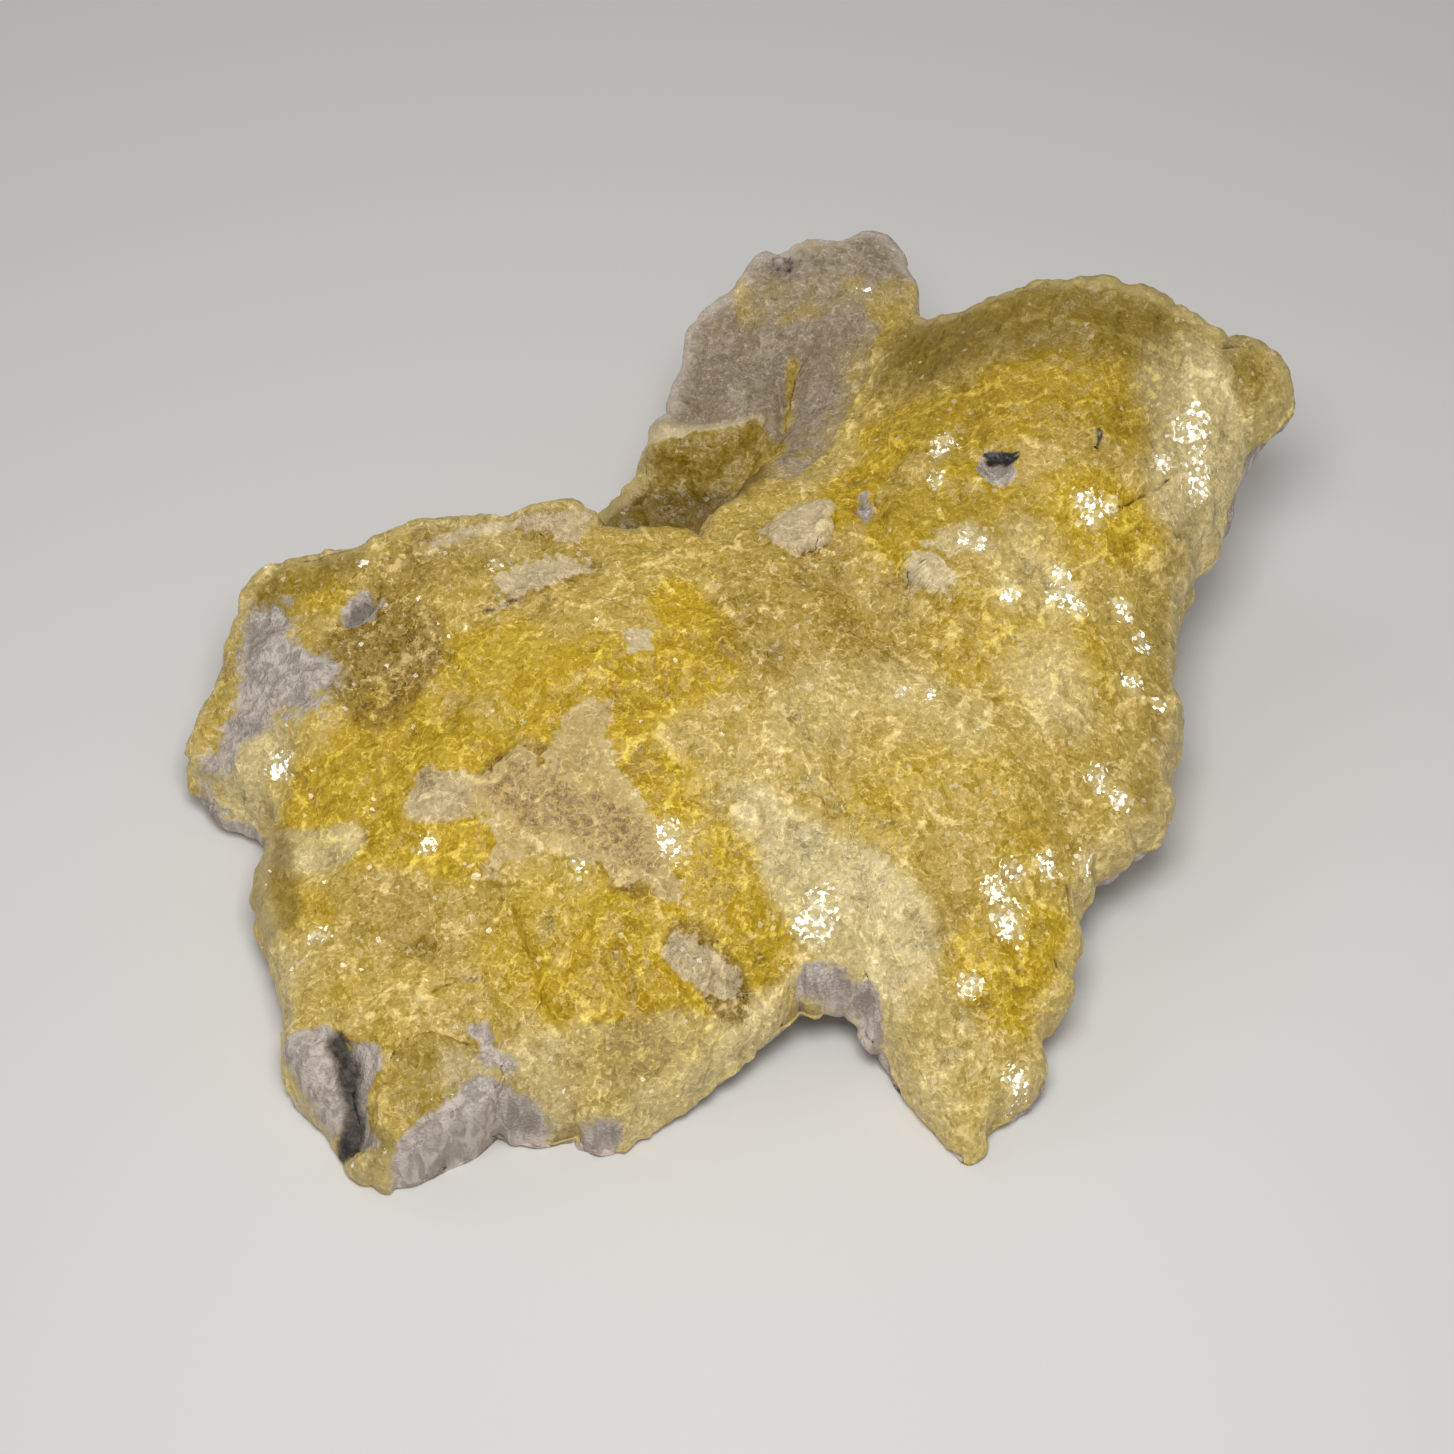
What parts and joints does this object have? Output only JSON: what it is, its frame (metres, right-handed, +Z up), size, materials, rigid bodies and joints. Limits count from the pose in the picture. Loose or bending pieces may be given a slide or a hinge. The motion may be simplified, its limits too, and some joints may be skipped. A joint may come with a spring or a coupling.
{
  "type": "brucite specimen",
  "caption": "Slab-like yellow mineral crust with lobed, scalloped edges on a broken grey-white base with an upright stub behind; rests on its own uneven underside.",
  "frame": {"origin": "centre of the bounding box, on the level it rests on", "axes": "+X to the right end of the dome, +Y to the stub at the back, +Z up from the resting face"},
  "size_m": [0.0638, 0.0598, 0.0199],
  "materials": {
    "brucite": "waxy to pearly lumpy crust, lemon to tan yellow, grey-white and dull where broken"
  },
  "bodies": {
    "root": {"brucite_specimen": "brucite"}
  },
  "joints": []
}
